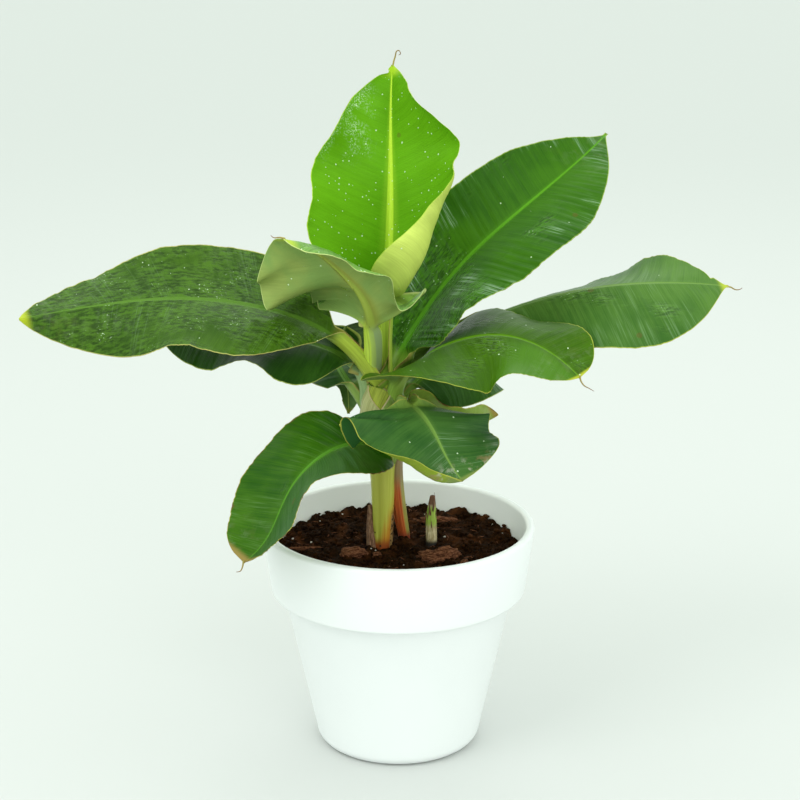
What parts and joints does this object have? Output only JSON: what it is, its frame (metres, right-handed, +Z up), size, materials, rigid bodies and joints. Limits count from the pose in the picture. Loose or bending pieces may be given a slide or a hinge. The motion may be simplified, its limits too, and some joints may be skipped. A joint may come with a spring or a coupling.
{
  "type": "potted banana plant",
  "caption": "Young banana plant with broad arching leaves on a sheathed stem, growing in peat soil in a banded white glazed pot.",
  "frame": {"origin": "centre of the flat underside of the pot", "axes": "+Z up along the pot's axis, +X towards the long right-hand leaf, -Y towards the side with the front leaves"},
  "size_m": [0.6536, 0.3047, 0.6437],
  "materials": {
    "pot_glaze": "satin white glaze",
    "soil": "moist crumbly peat with pale grains",
    "stem_green": "smooth satin plant tissue",
    "sheath_red": "smooth satin plant tissue, streaked red and green",
    "sheath_dry": "dry papery fibre",
    "stub": "dry cut shoot",
    "leaf_bright": "bright satin young leaf",
    "leaf_green": "glossy dark green leaf with paler underside"
  },
  "bodies": {
    "root": {"pot": "pot_glaze", "soil": "soil", "pseudostem": "stem_green", "old_sheath": "sheath_red", "dry_sheath": "sheath_dry", "sucker_stub": "stub", "leaf_top": "leaf_bright", "leaf_upper_right": "leaf_green", "leaf_right": "leaf_green", "leaf_front_right": "leaf_green", "leaf_left": "leaf_green", "leaf_left_back": "leaf_green", "leaf_front_arching": "leaf_green", "leaf_front_low": "leaf_green", "leaf_left_drooping": "leaf_green", "leaf_right_low": "leaf_green", "leaf_back_right": "leaf_green", "leaf_back_left": "leaf_green"}
  },
  "joints": []
}
